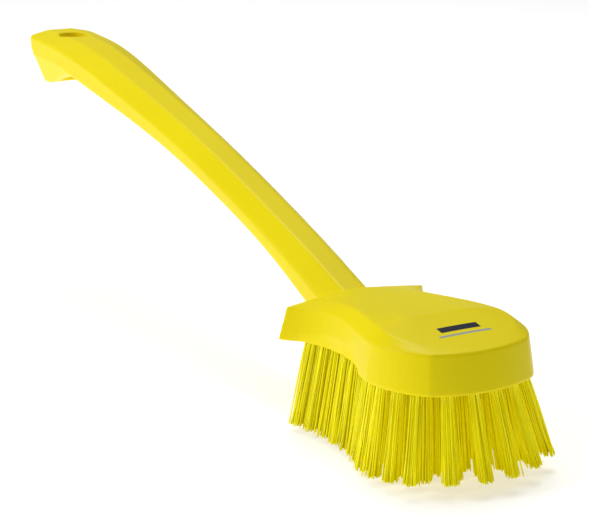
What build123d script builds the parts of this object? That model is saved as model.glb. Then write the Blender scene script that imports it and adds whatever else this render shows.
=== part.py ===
from build123d import *
import math
import os

# Long-handled washing brush: one moulded body and set bristle tufts.
# Millimetres. +X points to the nose, +Z up, Z = 0 at the bristle tips.
# Plan positions are given as d, the distance back from the nose, and y from the centre line.

# Driving dimensions
LENGTH = 415.0            # nose to handle end
TIP_OVERHANG = 10.5       # reach of the front bristle tips past the nose
NOSE_X = (LENGTH - TIP_OVERHANG) / 2
UNDERSIDE_Z = 40.0        # bristle length below the block
WALL_TOP_Z = 56.5         # top edge of the block's side wall
CREST_FRONT_D = 37.0      # front edge of the flat crest
CREST_FRONT_Z = 63.2
CREST_FRONT_HALF = 15.3
CREST_REAR_Z = 57.9
CREST_REAR_HALF = 5.6
REAR_D = 102.5            # rear wall of the block

# Hanging hole
HOLE_D = 394.0
HOLE_R = 8.0

# Handle stations: (d, top z, chamfer drop, side height, under drop, top half, outer half, under half)
HANDLE_STATIONS = [
    (98.0, 55.9, 7.2, 7.0, 1.0, 5.4, 13.1, 12.0),
    (112.0, 61.2, 7.6, 9.4, 2.6, 5.4, 12.9, 10.5),
    (140.0, 71.2, 7.0, 7.8, 3.6, 5.5, 12.9, 8.6),
    (190.0, 87.5, 6.3, 6.4, 4.2, 5.7, 13.0, 7.6),
    (240.0, 102.2, 6.0, 6.9, 4.2, 5.9, 13.5, 7.8),
    (300.0, 117.0, 5.4, 8.7, 4.0, 6.3, 15.1, 8.6),
    (360.0, 129.4, 4.2, 10.6, 3.6, 6.8, 17.6, 11.0),
    (395.0, 132.0, 3.0, 9.9, 3.4, 6.6, 18.7, 13.0),
    (416.0, 132.6, 2.2, 10.2, 3.2, 7.0, 19.0, 13.6),
]
END_CORNER_R = 7.0        # plan rounding of the handle's end

# Hook under the handle's end: side profile (d, z) and its half-widths
HOOK_PROFILE = [
    (414.0, 124.0),
    (414.0, 105.0),
    (402.0, 105.0),
    (397.5, 105.8),
    (391.0, 108.2),
    (384.0, 111.0),
    (370.0, 114.5),
    (370.0, 124.0),
]
HOOK_SHOULDER = (119.4, 18.0)   # z and half-width where the hook leaves the handle's side
HOOK_TIP_HALF = 12.0

# End face of the handle, leaning forward from the top edge to the hook's tip, as (d, z)
END_FACE = [(415.1, 134.0), (408.0, 118.0), (407.6, 104.0), (430.0, 104.0), (430.0, 134.0)]

# Bristle tufts and their staple anchors
TUFT_HOLE_R = 3.0
TUFT_R = 2.9
TUFT_TIP_R = 3.6
TUFT_HOLE_DEPTH = 11.0
TUFT_LENGTH = 40.0        # below the block
FRONT_TRIM = 3.5          # how much shorter the most leaning front tufts are
SIDE_TRIM = 1.5           # and the outermost side tufts
FIELD_EDGE = [(6.7, 25.0), (35.0, 36.0), (55.0, 28.6), (78.0, 27.2), (85.2, 28.4), (94.0, 30.4)]
EDGE_INSET = 5.4          # from that outline (d, y) to the outermost tuft centres
ROW_PITCH = 8.8
TUFT_PITCH = 9.4
FIRST_ROW_D = 6.0
FRONT_BOW = 9.0           # how far the first row's ends sit back, along the nose arc
BOWED_ROWS = 10
ROW_COUNT = 11
SIDE_LEAN = 8.0           # degrees outward at the sides
FRONT_LEAN = 21.0         # degrees forward at the nose
REAR_LEAN = 6.0           # degrees backward at the rear row
ANCHOR_LENGTH = 6.8
ANCHOR_WIDTH = 2.0
ANCHOR_THICK = 0.5
ANCHOR_COVER = 1.2        # fold of filament above the staple


def point(d, y, z=0.0):
    return (NOSE_X - d, y, z)


# Rings of one side of the block as (d, y, z): underside, wall's top edge, and crown shoulder
LOWER = {
    "front": (0.0, 0.0, UNDERSIDE_Z),
    "soft": (6.7, 25.0, UNDERSIDE_Z),
    "crease": (35.0, 36.0, UNDERSIDE_Z),
    "waist_mid": (58.0, 30.6, UNDERSIDE_Z),
    "waist": (80.0, 28.0, UNDERSIDE_Z),
    "wing": (REAR_D, 38.3, UNDERSIDE_Z),
}
UPPER = {
    "front": (3.6, 0.0, WALL_TOP_Z),
    "soft": (9.0, 23.4, WALL_TOP_Z),
    "crease": (35.6, 34.2, WALL_TOP_Z),
    "waist_mid": (58.0, 28.9, WALL_TOP_Z),
    "waist": (80.0, 25.4, WALL_TOP_Z - 0.3),
    "wing": (REAR_D - 1.5, 34.9, WALL_TOP_Z - 1.8),
}
CROWN = {
    "front": (11.5, 0.0, 58.1),
    "soft": (14.5, 20.6, 58.2),
    "crease": (36.0, 28.8, 61.1),
    "waist_mid": (58.0, 23.6, 60.9),
    "waist": (80.0, 19.8, 59.1),
    "wing": (REAR_D - 1.5, 25.0, 55.9),
}
# Foot of the cove along the lower waist, as (d, y) at the underside and at the cove's top
COVE_FOOT = [(42.5, 35.0), (55.0, 28.6), (80.0, 26.4), (95.3, 31.2)]
COVE_HEAD = [(50.0, 32.2), (60.0, 29.5), (80.0, 27.1), (95.5, 33.0)]
COVE_HEIGHT = 7.6
COVE_RUNOUT = 11.0        # the cove's rear face slants out to the foot of the wing


def side_edges(s, sign):
    """Nose arc, shoulder arc and waist curve of one side, running back from the nose."""
    def place(d, y, z):
        return point(d, sign * y, z)

    front_d, _, front_z = s["front"]
    soft_d, soft_y, soft_z = s["soft"]
    crease_d, crease_y, crease_z = s["crease"]
    nose_mid = place(front_d + 0.28 * (soft_d - front_d), 0.53 * soft_y, (front_z + soft_z) / 2)
    shoulder_mid = place(
        (soft_d + crease_d) / 2 - 1.7,
        (soft_y + crease_y) / 2 + 2.8,
        (soft_z + crease_z) / 2,
    )
    return [
        ThreePointArc(place(*s["front"]), nose_mid, place(*s["soft"])),
        ThreePointArc(place(*s["soft"]), shoulder_mid, place(*s["crease"])),
        Spline(*[place(*s[k]) for k in ("crease", "waist_mid", "waist", "wing")]),
    ]


def ruled_between(lower_edges, upper_edges):
    return [Face.make_surface_from_curves(a, b) for a, b in zip(lower_edges, upper_edges)]


def closed_side(s, sign):
    """One side's outline edges with its half of the rear edge, from nose to centre line."""
    wing_d, wing_y, wing_z = s["wing"]
    rear = Line(point(wing_d, sign * wing_y, wing_z), point(wing_d, 0, wing_z))
    return [e.edge() for e in side_edges(s, sign) + [rear]]


def crest_edges(sign):
    """The crest's edges of one side, matched one to one with the crown's edges."""
    front_mid = point(CREST_FRONT_D, 0, CREST_FRONT_Z)
    front_half = point(CREST_FRONT_D, sign * CREST_FRONT_HALF * 0.62, CREST_FRONT_Z)
    corner = point(CREST_FRONT_D, sign * CREST_FRONT_HALF, CREST_FRONT_Z)
    rear = point(UPPER["wing"][0], sign * CREST_REAR_HALF, CREST_REAR_Z)
    rear_mid = point(UPPER["wing"][0], 0, CREST_REAR_Z)
    return [
        Line(front_mid, front_half).edge(),
        Line(front_half, corner).edge(),
        Line(corner, rear).edge(),
        Line(rear, rear_mid).edge(),
    ]


def make_block():
    """Head block: drafted side wall below, faceted crown above."""
    faces = []
    underside = []
    crown = []
    for sign in (-1, 1):
        low = closed_side(LOWER, sign)
        top = closed_side(UPPER, sign)
        shoulder = closed_side(CROWN, sign)
        crest = crest_edges(sign)
        faces += ruled_between(low, top)
        faces += ruled_between(top, shoulder)
        faces += ruled_between(shoulder, crest)
        underside += low
        crown += crest
    faces.append(Face(Wire(underside)))
    faces.append(Face(Wire(crown)))
    return Solid(Shell(faces))


def cove_tool(sign):
    """Cutter for the shallow cove along the lower waist of one side."""
    def ring(points, z):
        path = [point(d, sign * y, z) for d, y in points]
        path_end = points[-1]
        outer_rear = point(path_end[0] + COVE_RUNOUT, sign * (path_end[1] + COVE_RUNOUT), z)
        outer_front = point(points[0][0], sign * 48, z)
        return Wire([
            Spline(*path).edge(),
            Line(path[-1], outer_rear).edge(),
            Line(outer_rear, outer_front).edge(),
            Line(outer_front, path[0]).edge(),
        ])

    return Solid.make_loft([
        ring(COVE_FOOT, UNDERSIDE_Z - 0.5),
        ring(COVE_HEAD, UNDERSIDE_Z + COVE_HEIGHT),
    ], True)


def handle_section(d, top, drop, side, under, top_half, outer_half, under_half):
    """Eight-sided section of the handle at distance d."""
    outer_z = top - drop
    low_z = outer_z - side
    bottom_z = low_z - under
    right = [
        (top_half, top),
        (outer_half, outer_z),
        (outer_half - 0.5, low_z),
        (under_half, bottom_z),
    ]
    left = [(-y, z) for y, z in reversed(right)]
    corners = [point(d, y, z) for y, z in right + left]
    return Wire.make_polygon(corners, close=True)


def make_handle():
    sections = [handle_section(*station) for station in HANDLE_STATIONS]
    handle = Solid.make_loft(sections, False)
    end_width = 2 * HANDLE_STATIONS[-1][6] + 0.4
    rounded = RectangleRounded(LENGTH, end_width, END_CORNER_R)
    front_half = Pos(LENGTH / 4, 0) * Rectangle(LENGTH / 2, end_width)
    envelope = extrude(Pos(NOSE_X - LENGTH / 2, 0, 30) * (rounded + front_half), 130)
    return handle & envelope


def make_hook():
    """Lip that hooks down under the handle's end, narrower toward its tip."""
    side = Polyline(*[point(d, 0, z) for d, z in HOOK_PROFILE], close=True)
    shoulder_z, shoulder_half = HOOK_SHOULDER
    slab = extrude(make_face(side), shoulder_half, dir=(0, 1, 0), both=True)
    top_z = HOOK_PROFILE[0][1]
    tip_z = min(z for d, z in HOOK_PROFILE) - 1
    right = [(shoulder_half - 2, top_z), (shoulder_half, shoulder_z), (HOOK_TIP_HALF, tip_z)]
    left = [(-y, z) for y, z in reversed(right)]
    taper = Polyline(*[point(LENGTH + 1, y, z) for y, z in right + left], close=True)
    wedge = extrude(make_face(taper), 60, dir=(1, 0, 0))
    return slab & wedge


def end_cutter():
    """Everything behind the leaning end face."""
    side = Polyline(*[point(d, 0, z) for d, z in END_FACE], close=True)
    return extrude(make_face(side), 40, dir=(0, 1, 0), both=True)


def field_reach(d):
    """How far from the centre line the outermost tufts stand at distance d."""
    first_d, first_y = FIELD_EDGE[0]
    if d <= first_d:
        return first_y * math.sqrt(max(0.0, d) / first_d) - EDGE_INSET
    for (d0, y0), (d1, y1) in zip(FIELD_EDGE, FIELD_EDGE[1:]):
        if d <= d1:
            t = (d - d0) / (d1 - d0)
            bulge = 11.0 * t * (1 - t) if d0 == first_d else 0.0
            return y0 + t * (y1 - y0) + bulge - EDGE_INSET
    return FIELD_EDGE[-1][1] - EDGE_INSET


def tuft_rows():
    """Plan places (d, y) of the tufts, row by row from the nose to the rear."""
    rows = []
    for i in range(ROW_COUNT):
        row_d = FIRST_ROW_D + i * ROW_PITCH
        bow = FRONT_BOW * max(0.0, 1 - i / BOWED_ROWS)
        reach = field_reach(row_d + bow)
        count = round(2 * reach / TUFT_PITCH) + 1
        row = []
        for k in range(count):
            across = -1 + 2 * k / (count - 1)
            row.append((row_d + bow * across ** 2, reach * across))
        rows.append(row)
    return rows


def front_share(d):
    """1 at the first row, falling to 0 over the first rows."""
    return min(1.0, max(0.0, 1 - (d - FIRST_ROW_D) / 32)) ** 1.2


def tuft_lean(d, y):
    """Lean of a tuft as (forward, sideways) in degrees, growing toward the edges."""
    front = front_share(d)
    last_d = FIRST_ROW_D + (ROW_COUNT - 1) * ROW_PITCH
    rear = max(0.0, 1 - (last_d - d) / 26) ** 1.2
    across = y / field_reach(d)
    side = SIDE_LEAN * math.copysign(abs(across) ** 1.5, across)
    flare = 1 + 0.9 * front
    return FRONT_LEAN * front - REAR_LEAN * rear, side * flare


def make_tuft(d, y):
    """One bundle: straight in its blind hole, leaning and opening out below the block."""
    forward, sideways = tuft_lean(d, y)
    across = y / field_reach(d)
    length = TUFT_LENGTH - FRONT_TRIM * front_share(d) - SIDE_TRIM * across ** 2
    dx = length * math.sin(math.radians(forward))
    dy = length * math.sin(math.radians(sideways))
    dz = math.sqrt(length ** 2 - dx ** 2 - dy ** 2)
    x, _, _ = point(d, y)
    root = Plane(origin=(x, y, UNDERSIDE_Z))
    tip = Plane(origin=(x + dx, y + dy, UNDERSIDE_Z - dz))
    free = Solid.make_loft([
        Wire.make_circle(TUFT_R, root),
        Wire.make_circle(TUFT_TIP_R, tip),
    ], True)
    held = Solid.make_cylinder(TUFT_R, TUFT_HOLE_DEPTH - 0.1, root)
    return (free + held - make_anchor(d, y)).solid()


def make_anchor(d, y):
    """Flat wire staple driven across the bottom of the hole."""
    x, _, _ = point(d, y)
    z = UNDERSIDE_Z + TUFT_HOLE_DEPTH - ANCHOR_COVER - ANCHOR_WIDTH / 2
    return Pos(x, y, z) * Box(ANCHOR_THICK, ANCHOR_LENGTH, ANCHOR_WIDTH)


def make_body(rows):
    body = make_block()
    for sign in (-1, 1):
        body = body - cove_tool(sign)
    body = body + make_handle() + make_hook() - end_cutter()
    hole_x = point(HOLE_D, 0)[0]
    body = body - Pos(hole_x, 0, 120) * Cylinder(HOLE_R, 60)
    holes = []
    for row in rows:
        for d, y in row:
            x = point(d, y)[0]
            hole = Cylinder(TUFT_HOLE_R, TUFT_HOLE_DEPTH)
            holes.append(Pos(x, y, UNDERSIDE_Z + TUFT_HOLE_DEPTH / 2) * hole)
            holes.append(make_anchor(d, y))
    return body - holes


def write(node, shapes):
    group = Compound(label=node, children=list(shapes))
    export_step(group, f"parts/{node}.step")


if __name__ == "__main__":
    os.makedirs("parts", exist_ok=True)
    ROWS = tuft_rows()
    BODY = make_body(ROWS)
    print("body solids", len(BODY.solids()), "volume", round(BODY.volume), BODY.bounding_box())
    export_step(BODY.solids()[0], "parts/brush_body.step")
    for number, row in enumerate(ROWS, start=1):
        write(f"tuft_row_{number:02d}", [make_tuft(d, y) for d, y in row])
        write(f"anchor_row_{number:02d}", [make_anchor(d, y).solid() for d, y in row])
    print("tufts", sum(len(row) for row in ROWS))
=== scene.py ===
import bpy
import math
import random
from mathutils import Euler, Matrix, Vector


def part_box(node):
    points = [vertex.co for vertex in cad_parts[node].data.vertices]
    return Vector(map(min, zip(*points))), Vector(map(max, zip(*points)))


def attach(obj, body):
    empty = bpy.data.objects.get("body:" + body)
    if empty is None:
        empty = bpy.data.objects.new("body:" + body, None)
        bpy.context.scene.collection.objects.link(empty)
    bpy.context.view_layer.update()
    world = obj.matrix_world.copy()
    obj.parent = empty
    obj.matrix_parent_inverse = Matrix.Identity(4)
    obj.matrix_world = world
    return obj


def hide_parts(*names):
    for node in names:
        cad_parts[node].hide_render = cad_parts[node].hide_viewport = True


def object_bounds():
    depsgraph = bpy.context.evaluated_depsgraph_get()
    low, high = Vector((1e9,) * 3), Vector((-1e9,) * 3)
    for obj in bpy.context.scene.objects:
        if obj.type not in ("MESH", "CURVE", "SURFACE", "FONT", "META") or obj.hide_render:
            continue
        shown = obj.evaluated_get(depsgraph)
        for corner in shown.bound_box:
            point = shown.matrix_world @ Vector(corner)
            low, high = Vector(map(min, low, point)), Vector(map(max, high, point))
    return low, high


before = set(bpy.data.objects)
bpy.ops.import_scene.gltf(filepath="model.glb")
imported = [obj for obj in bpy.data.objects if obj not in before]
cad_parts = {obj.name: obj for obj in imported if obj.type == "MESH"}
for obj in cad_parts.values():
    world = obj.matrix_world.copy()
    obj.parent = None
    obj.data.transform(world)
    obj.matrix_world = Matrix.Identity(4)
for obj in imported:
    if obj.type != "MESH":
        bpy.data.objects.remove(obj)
CAD_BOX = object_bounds()

MM = 0.001
ROW_COUNT = len([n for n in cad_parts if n.startswith("tuft_row_")])

# Body finish
VOXEL = 0.4 * MM
SOFTEN_ROUNDS = 26
GRID_TURN = Euler((0.50, 0.35, 0.40)).to_matrix().to_4x4()    # keeps edges off the voxel grid
GRAIN_DEPTH = 0.06 * MM

# Plain print on the head's front facet: distance behind the nose, half length in X, half width in Y
PRINT_Z = 61.0 * MM
PRINT_HALF_HEIGHT = 4 * MM
PRINT_EDGE = 0.15 * MM
BAR_BACK, BAR_HALF_X, BAR_HALF_Y = 23.5 * MM, 2.0 * MM, 9.5 * MM
LINE_BACK, LINE_HALF_X, LINE_HALF_Y = 18.6 * MM, 0.7 * MM, 12.5 * MM
PRINT_DARK = (0.012, 0.020, 0.035)
PRINT_PALE = (0.34, 0.42, 0.40)

# Filaments
SEED = 20417
FILAMENTS_PER_TUFT = 50
FILAMENT_R = 0.30 * MM
FILAMENT_SIDES = 5
FILAMENT_RINGS = 6
ROOT_RADIUS = 2.85 * MM
ROOT_SINK = 2.5 * MM            # how far a filament starts inside the block
SPREAD_JITTER = 0.22 * MM
TIP_JITTER = 0.3 * MM
TIP_UNEVEN = 0.9 * MM           # most that one filament ends short of the others
TURN_JITTER = 0.25
STRAY_SHARE = 0.015
STRAY_REACH = (0.8, 1.8)        # mm
SWAY = 0.16 * MM
CURL = (0.85, 1.35)
FRONT_ROWS, FRONT_SPLAY = 2, 0.88     # slightly narrower than the tuft solids
REAR_ROWS, REAR_SPLAY = 3, 1.16       # slightly wider than the tuft solids

# Reading the tuft solids
END_SLICE = 0.2 * MM
POINTS_PER_METRE = 1e6          # points closer than one step of this grid are one point

# Depth shade between filaments
SHADE_REACH = 14 * MM
SHADE_SAMPLES = 6

# Studio
FLOOR_HALF = 4.0
FLOOR_GAP = 0.0002
LIGHT_TARGET = (0.05, 0, 0.06)
LIGHTS = (      # name, place, size, power
    ("key", (-0.45, -1.65, 1.0), 0.9, 15),
    ("top", (-0.5, 0.3, 1.8), 1.2, 18),
)
WORLD_STRENGTH = 0.22

# Camera: stands near the nose on the -Y side, looking back along the handle
CAMERA_AZIMUTH = 59.8
CAMERA_ELEVATION = 14.69
CAMERA_PLACE = Vector((0.7857, -0.4289, 0.2833))
CAMERA_LENS = 118.6
CAMERA_SENSOR = 36.0
CAMERA_REACH = 50


def feed(tree, node, values):
    """Link or set each named input of a node."""
    for key, value in values.items():
        if isinstance(value, bpy.types.NodeSocket):
            tree.links.new(value, node.inputs[key])
        else:
            node.inputs[key].default_value = value


def add_node(tree, kind, values):
    node = tree.nodes.new(kind)
    feed(tree, node, values)
    return node


def new_material(name):
    mat = bpy.data.materials.new(name)
    mat.use_nodes = True
    tree = mat.node_tree
    return mat, tree, tree.nodes["Principled BSDF"]


def colour_ramp(tree, source, low, high):
    """Colour between two stops, each a place and a colour."""
    ramp = add_node(tree, "ShaderNodeValToRGB", {"Fac": source})
    for element, (place, colour) in zip(ramp.color_ramp.elements, (low, high)):
        element.position = place
        element.color = (*colour, 1.0)
    return ramp.outputs["Color"]


def object_noise(tree, scale, detail):
    coord = tree.nodes.new("ShaderNodeTexCoord")
    noise = add_node(tree, "ShaderNodeTexNoise", {
        "Scale": scale,
        "Detail": detail,
        "Roughness": 0.55,
        "Vector": coord.outputs["Object"],
    })
    return noise.outputs["Fac"]


def calculate(tree, operation, *values):
    node = tree.nodes.new("ShaderNodeMath")
    node.operation = operation
    feed(tree, node, dict(enumerate(values)))
    return node.outputs[0]


def map_range(tree, value, limits):
    node = add_node(tree, "ShaderNodeMapRange", {"Value": value, **limits})
    return node.outputs["Result"]


def blend(tree, factor, first, second):
    """The first colour where the factor is 0, the second where it is 1."""
    mix = tree.nodes.new("ShaderNodeMix")
    mix.data_type = "RGBA"
    feed(tree, mix, {"Factor": factor, "A": first, "B": second})
    return mix.outputs["Result"]


def band(tree, value, centre, half):
    """1 where value lies within half of centre, with a short soft edge, else 0."""
    distance = calculate(tree, "ABSOLUTE", calculate(tree, "SUBTRACT", value, centre))
    return map_range(tree, distance, {"From Min": half + PRINT_EDGE, "From Max": half - PRINT_EDGE})


def printed(tree, below):
    """Plain print on the front facet: one dark bar over a thin pale line."""
    coord = tree.nodes.new("ShaderNodeTexCoord")
    axes = add_node(tree, "ShaderNodeSeparateXYZ", {"Vector": coord.outputs["Object"]})
    x, y, z = axes.outputs
    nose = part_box("brush_body")[1].x
    up = band(tree, z, PRINT_Z, PRINT_HALF_HEIGHT)
    colour = below
    for back, half_x, half_y, ink in (
        (BAR_BACK, BAR_HALF_X, BAR_HALF_Y, PRINT_DARK),
        (LINE_BACK, LINE_HALF_X, LINE_HALF_Y, PRINT_PALE),
    ):
        along = calculate(tree, "MULTIPLY", up, band(tree, x, nose - back, half_x))
        mask = calculate(tree, "MULTIPLY", along, band(tree, y, 0, half_y))
        colour = blend(tree, mask, colour, (*ink, 1.0))
    return colour


def body_material():
    """Satin yellow polypropylene: faint flow variation and a fine moulded grain."""
    mat, tree, shader = new_material("yellow_polypropylene")
    flow = object_noise(tree, 16.0, 3.0)
    yellow = colour_ramp(tree, flow, (0.30, (0.935, 0.765, 0.0)), (0.70, (0.960, 0.800, 0.0)))
    bump = add_node(tree, "ShaderNodeBump", {
        "Strength": 0.10,
        "Distance": GRAIN_DEPTH,
        "Height": object_noise(tree, 2600.0, 2.0),
    })
    feed(tree, shader, {
        "Base Color": printed(tree, yellow),
        "Roughness": map_range(tree, flow, {"To Min": 0.34, "To Max": 0.46}),
        "Normal": bump.outputs["Normal"],
        "IOR": 1.49,
        "Specular IOR Level": 0.16,
        "Subsurface Weight": 0.12,
        "Subsurface Radius": (0.9, 0.7, 0.05),
        "Subsurface Scale": 0.002,
    })
    return mat


def bristle_material():
    """Translucent yellow filament with painted shade deep in the tufts, a faint painted glow, and slight
    tone differences.
    """
    mat, tree, shader = new_material("yellow_filament")
    streak = object_noise(tree, 420.0, 2.0)
    yellow = colour_ramp(tree, streak, (0.30, (0.95, 0.84, 0.0)), (0.72, (1.00, 0.92, 0.0)))
    # Painted shade: an occlusion node blends occluded filaments toward a dark olive, standing in for the
    # shade deep in the tufts.
    shade = add_node(tree, "ShaderNodeAmbientOcclusion", {"Distance": SHADE_REACH})
    shade.samples = SHADE_SAMPLES
    openness = map_range(tree, shade.outputs["AO"], {"From Min": 0.06, "From Max": 0.20})
    feed(tree, shader, {
        "Base Color": blend(tree, openness, (0.24, 0.17, 0.0, 1.0), yellow),
        "Roughness": 0.33,
        "IOR": 1.5,
        "Specular IOR Level": 0.3,
        "Subsurface Weight": 0.6,
        "Subsurface Radius": (1.0, 0.85, 0.05),
        "Subsurface Scale": 0.0022,
        # Painted glow: the filaments give off a little yellow light of their own, brightening them
        # beyond what the lamps give.
        "Emission Color": (1.0, 0.86, 0.0, 1),
        "Emission Strength": 0.16,
    })
    return mat


def anchor_material():
    """Brushed stainless wire."""
    mat, tree, shader = new_material("stainless_wire")
    brushed = object_noise(tree, 900.0, 3.0)
    feed(tree, shader, {
        "Base Color": colour_ramp(tree, brushed, (0.35, (0.50, 0.50, 0.50)), (0.65, (0.64, 0.64, 0.63))),
        "Metallic": 1.0,
        "Roughness": 0.32,
    })
    return mat


def floor_material():
    mat, tree, shader = new_material("pale_floor")
    feed(tree, shader, {
        "Base Color": (0.80, 0.80, 0.80, 1),
        "Roughness": 1.0,
        "Specular IOR Level": 0.0,
        "Emission Color": (1, 1, 1, 1),
        "Emission Strength": 0.5,
    })
    return mat


def link(name, data):
    obj = bpy.data.objects.new(name, data)
    bpy.context.scene.collection.objects.link(obj)
    return obj


def dress(mesh, material):
    mesh.materials.clear()
    mesh.materials.append(material)


def shade_smooth(mesh):
    mesh.polygons.foreach_set("use_smooth", [True] * len(mesh.polygons))


def evaluated_copy(obj):
    graph = bpy.context.evaluated_depsgraph_get()
    return bpy.data.meshes.new_from_object(obj.evaluated_get(graph))


def make_body(material):
    """The moulding's visible skin: the same shape with soft moulded edges."""
    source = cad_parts["brush_body"]
    rough = link("body_source", source.data.copy())
    rough.data.transform(GRID_TURN)
    remesh = rough.modifiers.new("voxels", "REMESH")
    remesh.mode = "VOXEL"
    remesh.voxel_size = VOXEL
    soften = rough.modifiers.new("soften", "SMOOTH")
    soften.factor = 0.5
    soften.iterations = SOFTEN_ROUNDS
    mesh = evaluated_copy(rough)
    mesh.transform(GRID_TURN.inverted())
    bpy.data.objects.remove(rough)
    mesh.name = "moulded_body"
    body = link("moulded_body", mesh)
    dress(mesh, material)
    shade_smooth(mesh)
    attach(body, "root")
    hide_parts("brush_body")


def loose_parts(mesh):
    """The points of each separate solid in a mesh, as a list for each."""
    parent = list(range(len(mesh.vertices)))

    def find(i):
        while parent[i] != i:
            parent[i] = parent[parent[i]]
            i = parent[i]
        return i

    keyed = {}
    for v in mesh.vertices:
        key = tuple(round(c * POINTS_PER_METRE) for c in v.co)
        if key in keyed:
            parent[find(v.index)] = find(keyed[key])
        else:
            keyed[key] = v.index
    for edge in mesh.edges:
        a, b = edge.vertices
        parent[find(a)] = find(b)
    groups = {}
    for v in mesh.vertices:
        groups.setdefault(find(v.index), []).append(v.co)
    return list(groups.values())


def centre_of(points):
    """Centre in X and Y, and half the width in X, of a flat end."""
    xs = [p.x for p in points]
    ys = [p.y for p in points]
    return (min(xs) + max(xs)) / 2, (min(ys) + max(ys)) / 2, (max(xs) - min(xs)) / 2


def tuft_axis(points, underside):
    """Root centre, tip centre and tip radius of one tuft solid."""
    low = min(p.z for p in points)
    high = max(p.z for p in points)
    root_x, root_y, _ = centre_of([p for p in points if p.z > high - END_SLICE])
    tip_x, tip_y, tip_radius = centre_of([p for p in points if p.z < low + END_SLICE])
    return Vector((root_x, root_y, underside)), Vector((tip_x, tip_y, low)), tip_radius


def filament(verts, faces, centres, turn):
    """One bent round bristle with closed ends, added to the lists."""
    start = len(verts)
    for centre in centres:
        for k in range(FILAMENT_SIDES):
            angle = turn + 2 * math.pi * k / FILAMENT_SIDES
            ring = Vector((FILAMENT_R * math.cos(angle), FILAMENT_R * math.sin(angle), 0))
            verts.append(centre + ring)
    for i in range(len(centres) - 1):
        for k in range(FILAMENT_SIDES):
            a = start + i * FILAMENT_SIDES + k
            b = start + i * FILAMENT_SIDES + (k + 1) % FILAMENT_SIDES
            faces.append((a, b, b + FILAMENT_SIDES, a + FILAMENT_SIDES))
    last = start + (len(centres) - 1) * FILAMENT_SIDES
    faces.append(tuple(start + k for k in range(FILAMENT_SIDES)))
    faces.append(tuple(last + k for k in reversed(range(FILAMENT_SIDES))))


def sideways(rng, spread):
    return Vector((rng.gauss(0, spread), rng.gauss(0, spread), 0))


def fill_tuft(verts, faces, root, tip, tip_radius, root_radius, rng):
    """A bundle of filaments, packed tight at the root and opening toward the tips."""
    golden = math.pi * (3 - math.sqrt(5))
    for i in range(FILAMENTS_PER_TUFT):
        share = math.sqrt((i + 0.5) / FILAMENTS_PER_TUFT)
        angle = i * golden + rng.uniform(-TURN_JITTER, TURN_JITTER)
        out = Vector((math.cos(angle), math.sin(angle), 0))
        begin = root + out * (root_radius - FILAMENT_R) * share + Vector((0, 0, ROOT_SINK))
        spread = share * tip_radius + rng.gauss(0, SPREAD_JITTER)
        end = tip + out * spread + sideways(rng, TIP_JITTER)
        end.z += rng.uniform(0.0, TIP_UNEVEN)
        if rng.random() < STRAY_SHARE:
            end += out * rng.uniform(*STRAY_REACH) * MM
        sway = sideways(rng, SWAY)
        curl = rng.uniform(*CURL)
        centres = []
        for r in range(FILAMENT_RINGS):
            t = r / (FILAMENT_RINGS - 1)
            place = begin.lerp(end, t)
            place.xy = begin.lerp(end, t ** curl).xy
            centres.append(place + sway * math.sin(math.pi * t))
        centres.reverse()
        filament(verts, faces, centres, rng.uniform(0, math.pi))


def splay_of(number):
    if number <= FRONT_ROWS:
        return FRONT_SPLAY
    if number > ROW_COUNT - REAR_ROWS:
        return REAR_SPLAY
    return 1.0


def make_tuft_row(number, material):
    node = f"tuft_row_{number:02d}"
    rng = random.Random(SEED + number)
    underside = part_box("brush_body")[0].z
    splay = splay_of(number)
    verts = []
    faces = []
    for points in loose_parts(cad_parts[node].data):
        root, tip, radius = tuft_axis(points, underside)
        fill_tuft(verts, faces, root, tip, radius * splay, ROOT_RADIUS * splay, rng)
    mesh = bpy.data.meshes.new(f"bristles_{number:02d}")
    mesh.from_pydata([tuple(v) for v in verts], [], faces)
    shade_smooth(mesh)
    dress(mesh, material)
    row = link(f"bristles_{number:02d}", mesh)
    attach(row, "root")
    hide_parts(node)


def make_floor():
    mesh = bpy.data.meshes.new("floor")
    half = FLOOR_HALF
    corners = [(-half, -half, 0), (half, -half, 0), (half, half, 0), (-half, half, 0)]
    mesh.from_pydata(corners, [], [(0, 1, 2, 3)])
    floor = link("floor", mesh)
    dress(mesh, floor_material())
    floor.location.z = CAD_BOX[0].z - FLOOR_GAP


def make_lights():
    for name, place, size, power in LIGHTS:
        data = bpy.data.lights.new(name, "AREA")
        data.shape = "DISK"
        data.size = size
        data.energy = power
        light = link(name, data)
        light.location = place
        toward = Vector(LIGHT_TARGET) - Vector(place)
        light.rotation_euler = toward.to_track_quat("-Z", "Y").to_euler()
    world = bpy.data.worlds.new("studio")
    world.use_nodes = True
    feed(world.node_tree, world.node_tree.nodes["Background"], {
        "Color": (1, 1, 1, 1),
        "Strength": WORLD_STRENGTH,
    })
    bpy.context.scene.world = world


def make_camera():
    data = bpy.data.cameras.new("camera")
    data.lens = CAMERA_LENS
    data.sensor_width = CAMERA_SENSOR
    data.clip_end = CAMERA_REACH
    camera = link("camera", data)
    camera.location = CAMERA_PLACE
    a = math.radians(CAMERA_AZIMUTH)
    e = math.radians(CAMERA_ELEVATION)
    back = Vector((math.sin(a) * math.cos(e), -math.cos(a) * math.cos(e), math.sin(e)))
    camera.rotation_euler = back.to_track_quat("Z", "Y").to_euler()
    bpy.context.scene.camera = camera


make_camera()
make_lights()
make_floor()
make_body(body_material())
filament_mat = bristle_material()
wire_mat = anchor_material()
for number in range(1, ROW_COUNT + 1):
    make_tuft_row(number, filament_mat)
    dress(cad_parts[f"anchor_row_{number:02d}"].data, wire_mat)

bpy.context.scene.view_settings.view_transform = "Standard"
